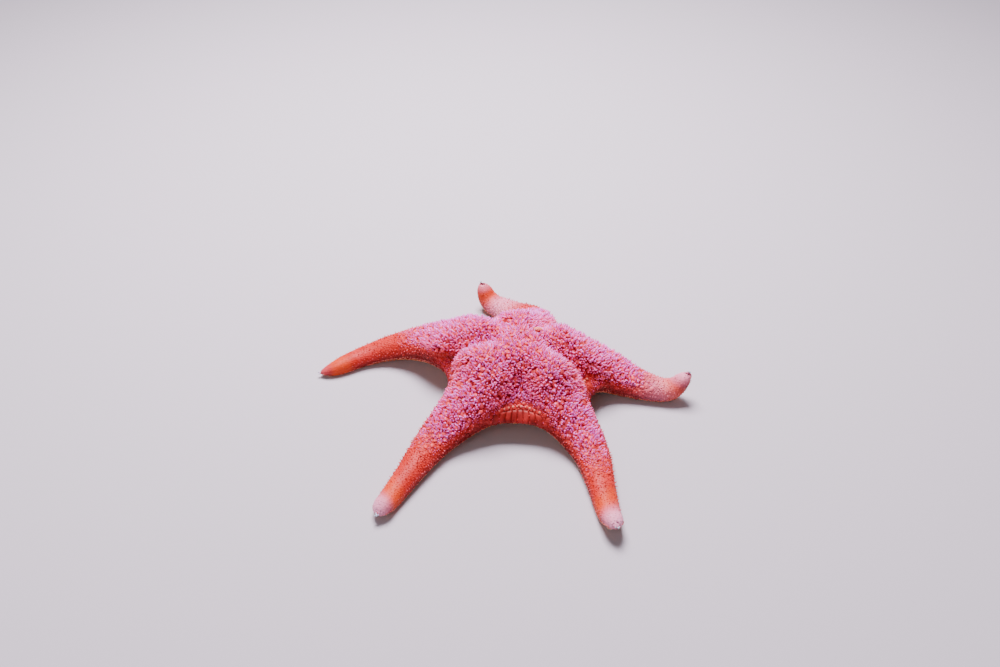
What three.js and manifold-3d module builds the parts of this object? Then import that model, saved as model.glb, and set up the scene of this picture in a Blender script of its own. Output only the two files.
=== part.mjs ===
// A sea star at life size, resting on a floor with its disc arched up and its arm tips curled.
// Millimetres and degrees, +Z up. The origin lies on the floor, under the middle of the star's box.
//
// The body is one smooth form: five bent, tapering arms blended with a domed disc. Thin cuts part it into
// the disc and, for each arm, an inner length, an outer length and a tip. A furrow runs along the underside
// of every arm to the mouth and holds a lining with two rows of tube feet.
import * as THREE from "three";
import { mergeVertices } from "three/addons/utils/BufferGeometryUtils.js";
import Module from "manifold-3d";

const wasm = await Module();
wasm.setup();

// ---- Driving dimensions ----

const CUT = 0.3; // the gap left by each thin cut, and round each loose piece
const DISC = { radius: 26, underside: 10.9, thickness: 9.6, droop: 5.2 }; // droop: how far its margin hangs
const ARM = {
  rootHalfWidth: 14.5,
  endHalfWidth: 4,
  rootHeight: 16.3,
  endHeight: 6.3,
  taper: 48, // the distance from the centre over which an arm loses most of its size
  widest: 0.42, // where on its height a section is widest
};
const BLEND = 4; // how softly arms and disc run into each other
const FADE = { size: 10, radius: 14 }; // how the arms give way to the disc round its middle
const VALLEYS = [ // between each two arms, on the upper side. offset: how far each passes from the centre
  { azimuth: 55, offset: 0, depth: 3.5, width: 4.5 },
  { azimuth: 122, offset: 0, depth: 3.5, width: 4.5 },
  { azimuth: 180, offset: -2, depth: 4.8, width: 4.6 },
  { azimuth: 268, offset: 0, depth: 5, width: 7 },
  { azimuth: 338, offset: 3, depth: 4.8, width: 4.6 },
];
const VALLEY_HEAD = [4, 14]; // how far out from the centre they begin and are at their full depth
const VALLEY_FOOT = [26, 40]; // and how far out they run out
const CROWN = { rise: 2.2, radius: 8 }; // how far the middle of the upper side stands up
const UPPER_SIDE = [8, 15]; // the height over which the valleys and the crown take hold
const SINK = 0.6; // how far the soles press into the floor, which leaves a flat on each arm
const STEP = 1; // length of the steps that a centreline is worked out in

// heading: the way an arm leaves the disc, anticlockwise from +X. bend: how far it has turned by its end,
// and the stretch it turns over. hook: a further turn of the tip. reach: where the sole meets the floor.
// curl: how steeply the tip ends, and from where it rises. rootScale and tipScale size its two ends.
// cap: the length that the end is rounded off over.
const ARMS = [
  { name: "right", length: 77, heading: 9, bend: -30, bendOver: [26, 42], hook: 52,
    reach: 51, curl: 71, curlFrom: 53, rootScale: 1.13, tipScale: 0.87, cap: 5 },
  { name: "back", length: 78, heading: 79, bend: 61, bendOver: [28, 49], hook: -6,
    reach: 52, curl: 84, curlFrom: 57, rootScale: 0.97, tipScale: 0.88, cap: 5 },
  { name: "left", length: 92, heading: 152, bend: 65, bendOver: [31, 85], hook: -18,
    reach: 76, curl: 14, curlFrom: 78, rootScale: 1.35, tipScale: 0.91, cap: 12 },
  { name: "front_left", length: 89, heading: 223, bend: 20, bendOver: [32, 58], hook: 5,
    reach: 51, curl: 28, curlFrom: 75, rootScale: 0.94, tipScale: 0.94, cap: 5 },
  { name: "front_right", length: 89, heading: 307, bend: -30, bendOver: [27, 60], hook: 3,
    reach: 49, curl: 41, curlFrom: 69, rootScale: 0.82, tipScale: 0.93, cap: 5 },
];
const LENGTHS = { inner: 30, outer: 50, tip: 10 }; // where inner and outer lengths start, the tip's length

const FURROW = {
  rootHalfWidth: 2.3,
  endHalfWidth: 1.4,
  rootDepth: 3.4,
  endDepth: 1.9,
  roof: 0.75, // the width of its roof, as a share of its width at the sole
  short: 2, // how far before the arm's end it stops
  pieces: 13,
};
const LINING = { thickness: 0.9, start: 5.5 };
const FEET = {
  pitch: 5.8,
  root: 0.18, // this and the next three are shares of the furrow's half width
  end: 0.24,
  apart: 0.36,
  hang: 1,
  clear: 0.35, // the height of the lowest feet over the floor
  sides: 5,
};
const MOUTH = { hole: 3.9, depth: 2.8, lip: 2.1 };
const MADREPORITE = { azimuth: 50, distance: 10.5, radius: 2.1, depth: 1.2, rise: 0.8 };

const rad = THREE.MathUtils.degToRad;
const smooth = (x, a, b) => THREE.MathUtils.smoothstep(x, a, b);
const mix = THREE.MathUtils.lerp;

// ---- Centrelines: the line along the middle of an arm's underside ----

function centreline(arm) {
  const stations = [];
  const point = new THREE.Vector3(0, 0, DISC.underside - SINK);
  for (let s = 0; s <= arm.length + STEP / 2; s += STEP) {
    const hook = arm.hook * smooth(s, arm.curlFrom, arm.length);
    const heading = rad(arm.heading + arm.bend * smooth(s, ...arm.bendOver) + hook);
    const slope = s < arm.reach ? (-Math.PI * DISC.underside) / (2 * arm.reach) : 0;
    const arch = Math.atan(slope * Math.sin((Math.PI * s) / arm.reach));
    const pitch = arch + rad(arm.curl) * smooth(s, arm.curlFrom, arm.length);
    const flat = new THREE.Vector3(Math.cos(heading), Math.sin(heading), 0);
    const along = flat.clone().multiplyScalar(Math.cos(pitch)).setZ(Math.sin(pitch));
    const side = new THREE.Vector3(flat.y, -flat.x, 0);
    const up = new THREE.Vector3().crossVectors(side, along);
    stations.push({ s, point: point.clone(), along, side, up });
    point.addScaledVector(along, STEP);
  }
  return stations;
}
for (const arm of ARMS) arm.line = centreline(arm);

function stationAt(arm, s) {
  const i = THREE.MathUtils.clamp(Math.round(s / STEP), 0, arm.line.length - 1);
  const near = arm.line[i];
  return { ...near, s, point: near.point.clone().addScaledVector(near.along, s - near.s) };
}

function taperedSize(arm, s, root, end) {
  const share = Math.exp(-((s / ARM.taper) ** 2));
  const into = Math.max(s - (arm.length - arm.cap), 0) / arm.cap;
  const rounded = Math.sqrt(Math.max(1 - into * into, 0.0004));
  return mix(end, root, share) * mix(arm.tipScale, arm.rootScale, share) * rounded;
}
const halfWidth = (arm, s) => taperedSize(arm, s, ARM.rootHalfWidth, ARM.endHalfWidth);
const height = (arm, s) => taperedSize(arm, s, ARM.rootHeight, ARM.endHeight);

// ---- The body as a field that is negative inside it ----

function nearestStation(arm, p) {
  const q = new THREE.Vector3();
  let best = Infinity;
  let near = null;
  for (const station of arm.line) {
    q.copy(station.point).addScaledVector(station.up, station.middle);
    const d = q.distanceToSquared(p);
    if (d < best) {
      best = d;
      near = station;
    }
  }
  return near;
}
for (const arm of ARMS) {
  for (const station of arm.line) station.middle = height(arm, station.s) * ARM.widest;
}

// The distance out from a section's middle, less its size that way: ratio is 1 on its surface.
const fieldOf = (aside, above, ratio) => Math.hypot(aside, above) * (1 - 1 / Math.max(ratio, 1e-3));

function armField(arm, p) {
  const near = nearestStation(arm, p);
  const offset = p.clone().sub(near.point);
  const along = near.s + offset.dot(near.along);
  const s = THREE.MathUtils.clamp(along, 0, arm.length);
  const h = height(arm, s);
  const aside = Math.hypot(offset.dot(near.side), along - s); // past either end, distance counts as width
  const above = offset.dot(near.up) - h * ARM.widest;
  const rise = Math.abs(above) / (h * (above > 0 ? 1 - ARM.widest : ARM.widest));
  const power = above > 0 ? 2.1 : 3;
  const ratio = ((aside / halfWidth(arm, s)) ** power + rise ** power) ** (1 / power);
  return fieldOf(aside, above, ratio);
}

function discField(p) {
  const aside = Math.hypot(p.x, p.y);
  const droop = DISC.droop * (aside / DISC.radius) ** 2;
  const above = p.z - DISC.underside + SINK - DISC.thickness * ARM.widest + droop;
  const half = DISC.thickness * (above > 0 ? 1 - ARM.widest : ARM.widest);
  return fieldOf(aside, above, Math.hypot(aside / DISC.radius, above / half));
}

// How far valleys and crown lower the upper side.
function hollowing(p) {
  let deep = -CROWN.rise * Math.exp(-(p.x * p.x + p.y * p.y) / CROWN.radius ** 2);
  for (const valley of VALLEYS) {
    const turn = rad(valley.azimuth);
    const out = p.x * Math.cos(turn) + p.y * Math.sin(turn);
    const across = p.y * Math.cos(turn) - p.x * Math.sin(turn) - valley.offset;
    const reach = smooth(out, ...VALLEY_HEAD) * (1 - smooth(out, ...VALLEY_FOOT));
    deep += valley.depth * reach * Math.exp(-((across / valley.width) ** 2));
  }
  return deep * smooth(p.z, ...UPPER_SIDE);
}

function bodyField(p) {
  const fade = FADE.size * Math.exp(-(p.x * p.x + p.y * p.y) / FADE.radius ** 2);
  let sum = Math.exp(-discField(p) / BLEND);
  for (const arm of ARMS) sum += Math.exp(-(armField(arm, p) + fade) / BLEND);
  return -BLEND * Math.log(sum) + hollowing(p);
}

// The distance along a ray from inside the body to its surface, or to furthest if that is nearer.
function surfaceFrom(origin, direction, furthest) {
  const p = new THREE.Vector3();
  const isInside = (t) => bodyField(p.copy(origin).addScaledVector(direction, t)) < 0;
  let inside = 0;
  while (inside < furthest && isInside(inside + STEP)) inside += STEP;
  let outside = inside + STEP;
  for (let i = 0; i < 12; i++) {
    const t = (inside + outside) / 2;
    if (isInside(t)) inside = t;
    else outside = t;
  }
  return inside;
}

// ---- From three.js geometry to solids and back ----

function solidOf(geometry) {
  const bare = geometry.clone();
  bare.deleteAttribute("normal");
  bare.deleteAttribute("uv");
  const merged = mergeVertices(bare, 1e-4);
  return new wasm.Manifold(
    new wasm.Mesh({
      numProp: 3,
      vertProperties: merged.attributes.position.array,
      triVerts: new Uint32Array(merged.index.array),
    }),
  );
}

function geometryOf(solid) {
  const mesh = solid.getMesh();
  const geometry = new THREE.BufferGeometry();
  geometry.setAttribute("position", new THREE.BufferAttribute(new Float32Array(mesh.vertProperties), 3));
  geometry.setIndex(new THREE.BufferAttribute(new Uint32Array(mesh.triVerts), 1));
  geometry.computeVertexNormals();
  return geometry;
}

// Moves every vertex of a geometry to where place puts it.
function warp(geometry, place) {
  const position = geometry.attributes.position;
  const v = new THREE.Vector3();
  for (let i = 0; i < position.count; i++) {
    const out = place(v.fromBufferAttribute(position, i));
    position.setXYZ(i, out.x, out.y, out.z);
  }
  return geometry;
}

const REACH = 200; // longer than anything here
const FLOOR = solidOf(new THREE.BoxGeometry(2 * REACH, 2 * REACH, 100).translate(0, 0, -50));

// Everything further along an arm than s.
function beyond(arm, s) {
  const { point, along, side, up } = stationAt(arm, s);
  const box = new THREE.BoxGeometry(REACH, REACH, REACH).translate(0, REACH / 2, 0);
  box.applyMatrix4(new THREE.Matrix4().makeBasis(side, along, up));
  return solidOf(box.translate(...point.toArray()));
}

// ---- Flesh: the rings of a sphere become sections of an arm, or of the disc ----

const ARM_SIDES = 16;
const ARM_RINGS = 15;
const CAP_RINGS = 4;
const DISC_SIDES = 58;
const DISC_RINGS = 14;
const MARGIN_CROWDING = 0.3; // how much closer the disc's rings are at its margin

const latitude = (v) => Math.acos(THREE.MathUtils.clamp(v.y, -1, 1)) / Math.PI; // 0 to 1, pole to pole
const isPole = (v) => Math.abs(v.y) > 1 - 1e-9;

// Its first ring lies just inside the disc, and its last few round off the end.
function armSolid(arm) {
  const start = LENGTHS.inner - 1;
  const capStart = arm.length - arm.cap;
  const straightRings = ARM_RINGS - CAP_RINGS - 1;
  const sphere = new THREE.SphereGeometry(1, ARM_SIDES, ARM_RINGS);
  return solidOf(warp(sphere, (v) => {
    const ring = Math.max(latitude(v) * ARM_RINGS - 1, 0);
    const intoCap = Math.max(ring - straightRings, 0) / CAP_RINGS;
    const straight = mix(start, capStart, Math.min(ring / straightRings, 1));
    const s = straight + arm.cap * Math.sin((intoCap * Math.PI) / 2);
    const { point, side, up } = stationAt(arm, s);
    const origin = point.addScaledVector(up, height(arm, s) * ARM.widest);
    if (isPole(v)) return origin;
    const turn = Math.atan2(v.z, -v.x);
    const direction = side.clone().multiplyScalar(Math.cos(turn)).addScaledVector(up, Math.sin(turn));
    return origin.addScaledVector(direction, surfaceFrom(origin, direction, LENGTHS.inner));
  }));
}

function discSolid() {
  const middle = DISC.underside - SINK + DISC.thickness * ARM.widest;
  const sphere = new THREE.SphereGeometry(1, DISC_SIDES, DISC_RINGS);
  return solidOf(warp(sphere, (v) => {
    const even = latitude(v);
    const polar = Math.PI * even + MARGIN_CROWDING * Math.sin(2 * Math.PI * even);
    const turn = Math.atan2(v.z, v.x);
    const out = isPole(v) ? 0 : Math.sin(polar);
    const direction = new THREE.Vector3(out * Math.cos(turn), out * Math.sin(turn), -Math.cos(polar));
    direction.normalize();
    const origin = new THREE.Vector3(0, 0, middle);
    return origin.addScaledVector(direction, surfaceFrom(origin, direction, 1.35 * LENGTHS.inner));
  }));
}

// ---- The underside: furrows, their lining and tube feet ----

// The middle of an arm's sole at s. Where the floor trims the arm, that is the flat.
function soleAt(arm, s) {
  const { point, side, up } = stationAt(arm, s);
  const origin = point.addScaledVector(up, height(arm, s) * ARM.widest);
  const down = up.clone().negate();
  const sole = origin.addScaledVector(down, surfaceFrom(origin, down, LENGTHS.inner));
  if (sole.z < 0) sole.addScaledVector(up, -sole.z / up.z);
  return { sole, side, up };
}

// A strip along an arm's sole. Its half widths and its heights above the sole are functions of s.
function stripSolid(arm, bottomHalf, topHalf, bottomAt, topAt) {
  const box = new THREE.BoxGeometry(1, 1, 1, 1, FURROW.pieces, 1);
  return solidOf(warp(box, (v) => {
    const s = furrowEnd(arm) * (v.y + 0.5);
    const { sole, side, up } = soleAt(arm, s);
    const half = v.z > 0 ? topHalf(s) : bottomHalf(s);
    return sole.addScaledVector(side, 2 * v.x * half).addScaledVector(up, v.z > 0 ? topAt(s) : bottomAt(s));
  }));
}

const furrowEnd = (arm) => arm.length - FURROW.short;
const furrowHalfWidth = (arm, s) => mix(FURROW.rootHalfWidth, FURROW.endHalfWidth, s / arm.length);
const furrowDepth = (arm, s) => mix(FURROW.rootDepth, FURROW.endDepth, s / arm.length);

function furrowSolid(arm) {
  const half = (s) => furrowHalfWidth(arm, s);
  return stripSolid(arm, half, (s) => FURROW.roof * half(s), () => -4, (s) => furrowDepth(arm, s));
}

function liningSolid(arm) {
  const half = (s) => FURROW.roof * furrowHalfWidth(arm, s) - 1.1 * CUT;
  const top = (s) => furrowDepth(arm, s) - CUT;
  const whole = stripSolid(arm, half, half, (s) => top(s) - LINING.thickness, top);
  return whole.intersect(beyond(arm, LINING.start)).subtract(beyond(arm, furrowEnd(arm) - CUT));
}

// A tube foot hangs from the lining to just clear of the floor, or a little out of the furrow.
function footSolid(arm, s, hand) {
  const { sole, side, up } = soleAt(arm, s);
  const breadth = furrowHalfWidth(arm, s);
  const root = furrowDepth(arm, s) - CUT - LINING.thickness / 2;
  const hang = Math.min(FEET.hang * breadth, sole.z - FEET.clear);
  const foot = new THREE.CylinderGeometry(FEET.root * breadth, FEET.end * breadth, root + hang, FEET.sides);
  foot.applyMatrix4(new THREE.Matrix4().makeBasis(side, up, new THREE.Vector3().crossVectors(side, up)));
  sole.addScaledVector(up, (root - hang) / 2).addScaledVector(side, hand * FEET.apart * breadth);
  return solidOf(foot.translate(...sole.toArray()));
}

function tubeFeetSolid(arm) {
  let solid = liningSolid(arm);
  let hand = 1;
  for (let s = LINING.start + 1.5; s < furrowEnd(arm) - 2; s += FEET.pitch) {
    solid = solid.add(footSolid(arm, s, hand));
    hand = -hand;
  }
  return solid;
}

// ---- Mouth and madreporite: turned shapes, each in a recess of its own ----

function turned(profile, sides) {
  const points = profile.map(([r, z]) => new THREE.Vector2(r, z));
  return new THREE.LatheGeometry(points, sides).rotateX(Math.PI / 2);
}

const undersideHeight = soleAt(ARMS[0], 0).sole.z;
const mouthTop = undersideHeight + MOUTH.depth;
const mouthHole = new THREE.CylinderGeometry(MOUTH.hole, MOUTH.hole, REACH, 24).rotateX(Math.PI / 2);
mouthHole.translate(0, 0, mouthTop - REACH / 2);

function mouthSolid() {
  const rim = MOUTH.hole - CUT;
  const underside = [[0, -0.7], [0.7, -0.8], [1.2, -1.5], [MOUTH.lip, -1.8], [2.9, -1.2], [rim, -0.9]];
  const profile = [...underside, [rim, 0], [0, 0]];
  return solidOf(turned(profile, 16).translate(0, 0, mouthTop - CUT));
}

// Where a plumb line through (x, y) meets the upper side, and the way the surface faces there.
function topAt(x, y) {
  const height = (dx, dy) => {
    const origin = new THREE.Vector3(x + dx, y + dy, DISC.underside + DISC.thickness / 2);
    return origin.z + surfaceFrom(origin, new THREE.Vector3(0, 0, 1), DISC.thickness * 2);
  };
  const facing = new THREE.Vector3(height(-1, 0) - height(1, 0), height(0, -1) - height(0, 1), 2);
  return { point: new THREE.Vector3(x, y, height(0, 0)), facing: facing.normalize() };
}

const { azimuth, distance } = MADREPORITE;
const seat = topAt(distance * Math.cos(rad(azimuth)), distance * Math.sin(rad(azimuth)));
const seatTurn = new THREE.Quaternion().setFromUnitVectors(new THREE.Vector3(0, 0, 1), seat.facing);

function seated(geometry) {
  return solidOf(geometry.applyQuaternion(seatTurn).translate(...seat.point.toArray()));
}

function madreporiteSolid() {
  const { radius, depth, rise } = MADREPORITE;
  const side = [[0, -depth], [radius, -depth], [radius, 0]];
  const crown = [[0.8 * radius, 0.7 * rise], [0.4 * radius, rise], [0, rise]];
  return seated(turned([...side, ...crown], 16));
}

function madreporiteSocket() {
  const { radius, depth } = MADREPORITE;
  const socket = new THREE.CylinderGeometry(radius + CUT, radius + CUT, 2 * (depth + CUT), 20);
  return seated(socket.rotateX(Math.PI / 2));
}

// ---- The star ----

const coralSkin = new THREE.MeshStandardMaterial({ color: 0xe2705c, roughness: 0.6, metalness: 0 });
const paleTip = new THREE.MeshStandardMaterial({ color: 0xf3cdbf, roughness: 0.6, metalness: 0 });
const grooved = new THREE.MeshStandardMaterial({ color: 0xf0935f, roughness: 0.5, metalness: 0 });
const lips = new THREE.MeshStandardMaterial({ color: 0xb9564c, roughness: 0.45, metalness: 0 });
const feet = new THREE.MeshStandardMaterial({ color: 0xf0c9a8, roughness: 0.4, metalness: 0 });

const star = new THREE.Group();
function add(name, solid, material) {
  const mesh = new THREE.Mesh(geometryOf(solid), material);
  mesh.name = name;
  star.add(mesh);
}

const furrows = ARMS.map(furrowSolid);
let disc = discSolid().subtract(FLOOR).subtract(solidOf(mouthHole)).subtract(madreporiteSocket());
ARMS.forEach((arm, i) => {
  disc = disc.subtract(beyond(arm, LENGTHS.inner - CUT / 2)).subtract(furrows[i]);
});
add("disc", disc, coralSkin);
add("mouth", mouthSolid(), lips);
add("madreporite", madreporiteSolid(), grooved);

ARMS.forEach((arm, i) => {
  const whole = armSolid(arm).subtract(FLOOR).subtract(furrows[i]);
  const starts = [LENGTHS.inner, LENGTHS.outer, arm.length - LENGTHS.tip];
  ["inner", "outer", "tip"].forEach((length, j) => {
    let piece = whole.intersect(beyond(arm, starts[j] + CUT / 2));
    if (j < 2) piece = piece.subtract(beyond(arm, starts[j + 1] - CUT / 2));
    add(`arm_${arm.name}_${length}`, piece, j < 2 ? coralSkin : paleTip);
  });
  add(`tube_feet_${arm.name}`, tubeFeetSolid(arm), feet);
});

const middle = new THREE.Box3().setFromObject(star).getCenter(new THREE.Vector3());
for (const mesh of star.children) mesh.position.set(-middle.x, -middle.y, 0);

export default star;
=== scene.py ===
# A sea star at life size, resting on its arms with the disc arched up and the arm tips curled.
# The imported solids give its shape. One skin replaces its flesh, and a coat of plates, granules,
# soft gills and spines is set over that skin.
import math

import bmesh
import bpy
import numpy as np
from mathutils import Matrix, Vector, noise
from mathutils.bvhtree import BVHTree
from mathutils.kdtree import KDTree


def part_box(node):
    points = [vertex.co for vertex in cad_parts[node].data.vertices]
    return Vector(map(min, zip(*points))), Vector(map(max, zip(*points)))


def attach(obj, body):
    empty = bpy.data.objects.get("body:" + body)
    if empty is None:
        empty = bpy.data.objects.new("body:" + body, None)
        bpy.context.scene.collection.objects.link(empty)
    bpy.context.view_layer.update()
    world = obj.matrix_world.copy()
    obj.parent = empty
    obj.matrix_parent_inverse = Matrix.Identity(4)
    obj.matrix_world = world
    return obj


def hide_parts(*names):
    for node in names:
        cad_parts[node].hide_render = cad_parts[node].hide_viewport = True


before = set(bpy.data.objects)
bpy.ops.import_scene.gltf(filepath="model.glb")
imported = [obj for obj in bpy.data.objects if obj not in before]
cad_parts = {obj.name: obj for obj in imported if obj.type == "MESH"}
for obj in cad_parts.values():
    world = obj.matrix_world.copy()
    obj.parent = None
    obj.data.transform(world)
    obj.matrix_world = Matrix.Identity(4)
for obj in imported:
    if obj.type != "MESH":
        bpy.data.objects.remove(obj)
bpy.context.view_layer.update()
mm = 0.001
chance = np.random.default_rng(20)
print("frame loaded")

# The body's shape, in millimetres: the same values that shape the solids.

bodyShape = {
    "discRadius": 26, "underside": 10.9, "discThickness": 9.6, "droop": 5.2,
    "rootHalfWidth": 14.5, "endHalfWidth": 4, "rootHeight": 16.3, "endHeight": 6.3,
    "taper": 48, "widest": 0.42, "blend": 4, "fadeSize": 10, "fadeRadius": 14, "sink": 0.6,
    "crown": 2.2, "crownRadius": 8, "valleyHead": (4, 14), "valleyFoot": (26, 40), "upperSide": (8, 15),
}
armShapes = [
    # pale: how far from its end an arm pales, how strongly, and to which side (right 1, left -1, all 0).
    # gills: the stretch over which its soft gills dwindle. slim: how many mm narrower the skin ends.
    # at a curled arm's bend, a painted highlight: where it is, how far it reaches and how strong
    {"name": "right", "length": 77, "heading": 9, "bend": -30, "bendOver": (26, 42), "hook": 52,
     "reach": 51, "curl": 71, "curlFrom": 53, "rootScale": 1.13, "tipScale": 0.87, "cap": 5,
     "pale": (10, 0.75, -1.4), "gills": (42, 60), "kneeHighlight": (60, 8, 0.32), "slim": 1.1},
    {"name": "back", "length": 78, "heading": 79, "bend": 61, "bendOver": (28, 49), "hook": -6,
     "reach": 52, "curl": 84, "curlFrom": 57, "rootScale": 0.97, "tipScale": 0.88, "cap": 5,
     "pale": (4, 0.5, 0), "gills": (30, 44), "kneeHighlight": (57, 8, 0.55), "slim": 0.5},
    {"name": "left", "length": 92, "heading": 152, "bend": 65, "bendOver": (31, 85), "hook": -18,
     "reach": 76, "curl": 14, "curlFrom": 78, "rootScale": 1.35, "tipScale": 0.91, "cap": 12,
     "pale": (5, 0.15, 0), "gills": (34, 58), "slim": 0.2},
    {"name": "front_left", "length": 89, "heading": 223, "bend": 20, "bendOver": (32, 58), "hook": 5,
     "reach": 51, "curl": 28, "curlFrom": 75, "rootScale": 0.94, "tipScale": 0.94, "cap": 5,
     "pale": (8, 0.9, 1.6), "gills": (34, 60), "slim": 0.3},
    {"name": "front_right", "length": 89, "heading": 307, "bend": -30, "bendOver": (27, 60), "hook": 3,
     "reach": 49, "curl": 41, "curlFrom": 69, "rootScale": 0.82, "tipScale": 0.93, "cap": 5,
     "pale": (12, 0.9, -1.2), "gills": (36, 64), "slim": 0.4},
]
valleys = [  # between each two arms, on the upper side. offset: how far each passes from the centre
    {"azimuth": 55, "offset": 0, "depth": 3.5, "width": 4.5},
    {"azimuth": 122, "offset": 0, "depth": 3.5, "width": 4.5},
    {"azimuth": 180, "offset": -2, "depth": 4.8, "width": 4.6},
    {"azimuth": 268, "offset": 0, "depth": 5, "width": 7},
    {"azimuth": 338, "offset": 3, "depth": 4.8, "width": 4.6},
]
furrowShape = {"halfWidth": (2.3, 1.4), "depth": (3.4, 1.9), "short": 2}  # at the root and at the end
mouthLow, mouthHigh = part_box("mouth")
centre = np.array([(mouthLow.x + mouthHigh.x) / 2, (mouthLow.y + mouthHigh.y) / 2, 0]) / mm


def smooth(x, a, b):
    t = np.clip((x - a) / (b - a), 0, 1)
    return t * t * (3 - 2 * t)


def mix(a, b, share):
    return a + (b - a) * share


def tapered(arm, s, root, end):
    share = np.exp(-(s / bodyShape["taper"]) ** 2)
    into = np.maximum(s - (arm["length"] - arm["cap"]), 0) / arm["cap"]
    rounded = np.sqrt(np.maximum(1 - into * into, 0.0004))
    return mix(end, root, share) * mix(arm["tipScale"], arm["rootScale"], share) * rounded


def halfWidth(arm, s):
    return tapered(arm, s, bodyShape["rootHalfWidth"], bodyShape["endHalfWidth"])


def height(arm, s):
    return tapered(arm, s, bodyShape["rootHeight"], bodyShape["endHeight"])


def layCentreline(arm):  # the line along the middle of an arm's underside, a station every millimetre
    s = np.arange(0, arm["length"] + 1, dtype=float)
    hook = arm["hook"] * smooth(s, arm["curlFrom"], arm["length"])
    heading = np.radians(arm["heading"] + arm["bend"] * smooth(s, *arm["bendOver"]) + hook)
    slope = np.where(s < arm["reach"], -math.pi * bodyShape["underside"] / (2 * arm["reach"]), 0)
    pitch = np.arctan(slope * np.sin(math.pi * s / arm["reach"]))
    pitch = pitch + math.radians(arm["curl"]) * smooth(s, arm["curlFrom"], arm["length"])
    arm["along"] = np.c_[np.cos(heading) * np.cos(pitch), np.sin(heading) * np.cos(pitch), np.sin(pitch)]
    arm["side"] = np.c_[np.sin(heading), -np.cos(heading), 0 * heading]
    arm["up"] = np.cross(arm["side"], arm["along"])
    start = centre + [0, 0, bodyShape["underside"] - bodyShape["sink"]]
    arm["points"] = np.vstack([start, start + np.cumsum(arm["along"][:-1], 0)])
    arm["s"] = s


for arm in armShapes:
    layCentreline(arm)


def onArm(arm, p):  # along, aside (signed) and above the section's middle, for each point of p
    middle = arm["points"] + arm["up"] * (height(arm, arm["s"]) * bodyShape["widest"])[:, None]
    away = (middle * middle).sum(1) - 2 * p @ middle.T
    near = away.argmin(1)
    offset = p - arm["points"][near]
    along = near + (offset * arm["along"][near]).sum(1)
    s = np.clip(along, 0, arm["length"])
    aside = (offset * arm["side"][near]).sum(1)
    above = (offset * arm["up"][near]).sum(1) - height(arm, s) * bodyShape["widest"]
    return along, s, aside, above


def armField(arm, p):
    along, s, aside, above = onArm(arm, p)
    aside = np.hypot(aside, along - s)
    widest = bodyShape["widest"]
    rise = np.abs(above) / (height(arm, s) * np.where(above > 0, 1 - widest, widest))
    power = np.where(above > 0, 2.1, 3)
    ratio = ((aside / halfWidth(arm, s)) ** power + rise ** power) ** (1 / power)
    return np.hypot(aside, above) * (1 - 1 / np.maximum(ratio, 1e-3))


def discField(p):
    q = p - centre
    aside = np.hypot(q[:, 0], q[:, 1])
    droop = bodyShape["droop"] * (aside / bodyShape["discRadius"]) ** 2
    thickness, widest = bodyShape["discThickness"], bodyShape["widest"]
    above = q[:, 2] - bodyShape["underside"] + bodyShape["sink"] - thickness * widest + droop
    half = thickness * np.where(above > 0, 1 - widest, widest)
    ratio = np.hypot(aside / bodyShape["discRadius"], above / half)
    return np.hypot(aside, above) * (1 - 1 / np.maximum(ratio, 1e-3))


def bodyField(p):  # the distance outside the body, negative inside it
    q = p - centre
    fade = bodyShape["fadeSize"] * np.exp(-(q[:, 0] ** 2 + q[:, 1] ** 2) / bodyShape["fadeRadius"] ** 2)
    arms = np.array([armField(arm, p) for arm in armShapes])
    fields = np.vstack([discField(p)[None], arms + fade])
    least = fields.min(0)
    value = least - bodyShape["blend"] * np.log(np.exp((least - fields) / bodyShape["blend"]).sum(0))
    return value + relief(q)


def relief(q):  # on the upper side, valleys part the arms, and the middle is raised
    deep = -bodyShape["crown"] * np.exp(-(q[:, 0] ** 2 + q[:, 1] ** 2) / bodyShape["crownRadius"] ** 2)
    for valley in valleys:
        turn = math.radians(valley["azimuth"])
        out = q[:, 0] * math.cos(turn) + q[:, 1] * math.sin(turn)
        across = q[:, 1] * math.cos(turn) - q[:, 0] * math.sin(turn) - valley["offset"]
        reach = smooth(out, *bodyShape["valleyHead"]) * (1 - smooth(out, *bodyShape["valleyFoot"]))
        deep = deep + valley["depth"] * reach * np.exp(-(across / valley["width"]) ** 2)
    return deep * smooth(q[:, 2], *bodyShape["upperSide"])


def outward(p, step=0.4):  # which way the body's surface faces near each point
    value = bodyField(p)
    slope = np.stack([bodyField(p + step * axis) - value for axis in np.eye(3)], 1) / step
    size = np.linalg.norm(slope, axis=1)
    return value, slope / np.maximum(size, 1e-6)[:, None], np.clip(size, 0.5, 2)


# Where things grow: the same measures lead the skin's and the coat's markings.

gillZone = {"lowFacing": 0.12, "outFacing": 0.55, "soft": 0.35, "edge": (12.2, 15.5)}
wallZone = {"top": 12.4, "soft": 0.8, "reach": (25, 31)}  # the disc's steep edge between the arms


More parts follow.
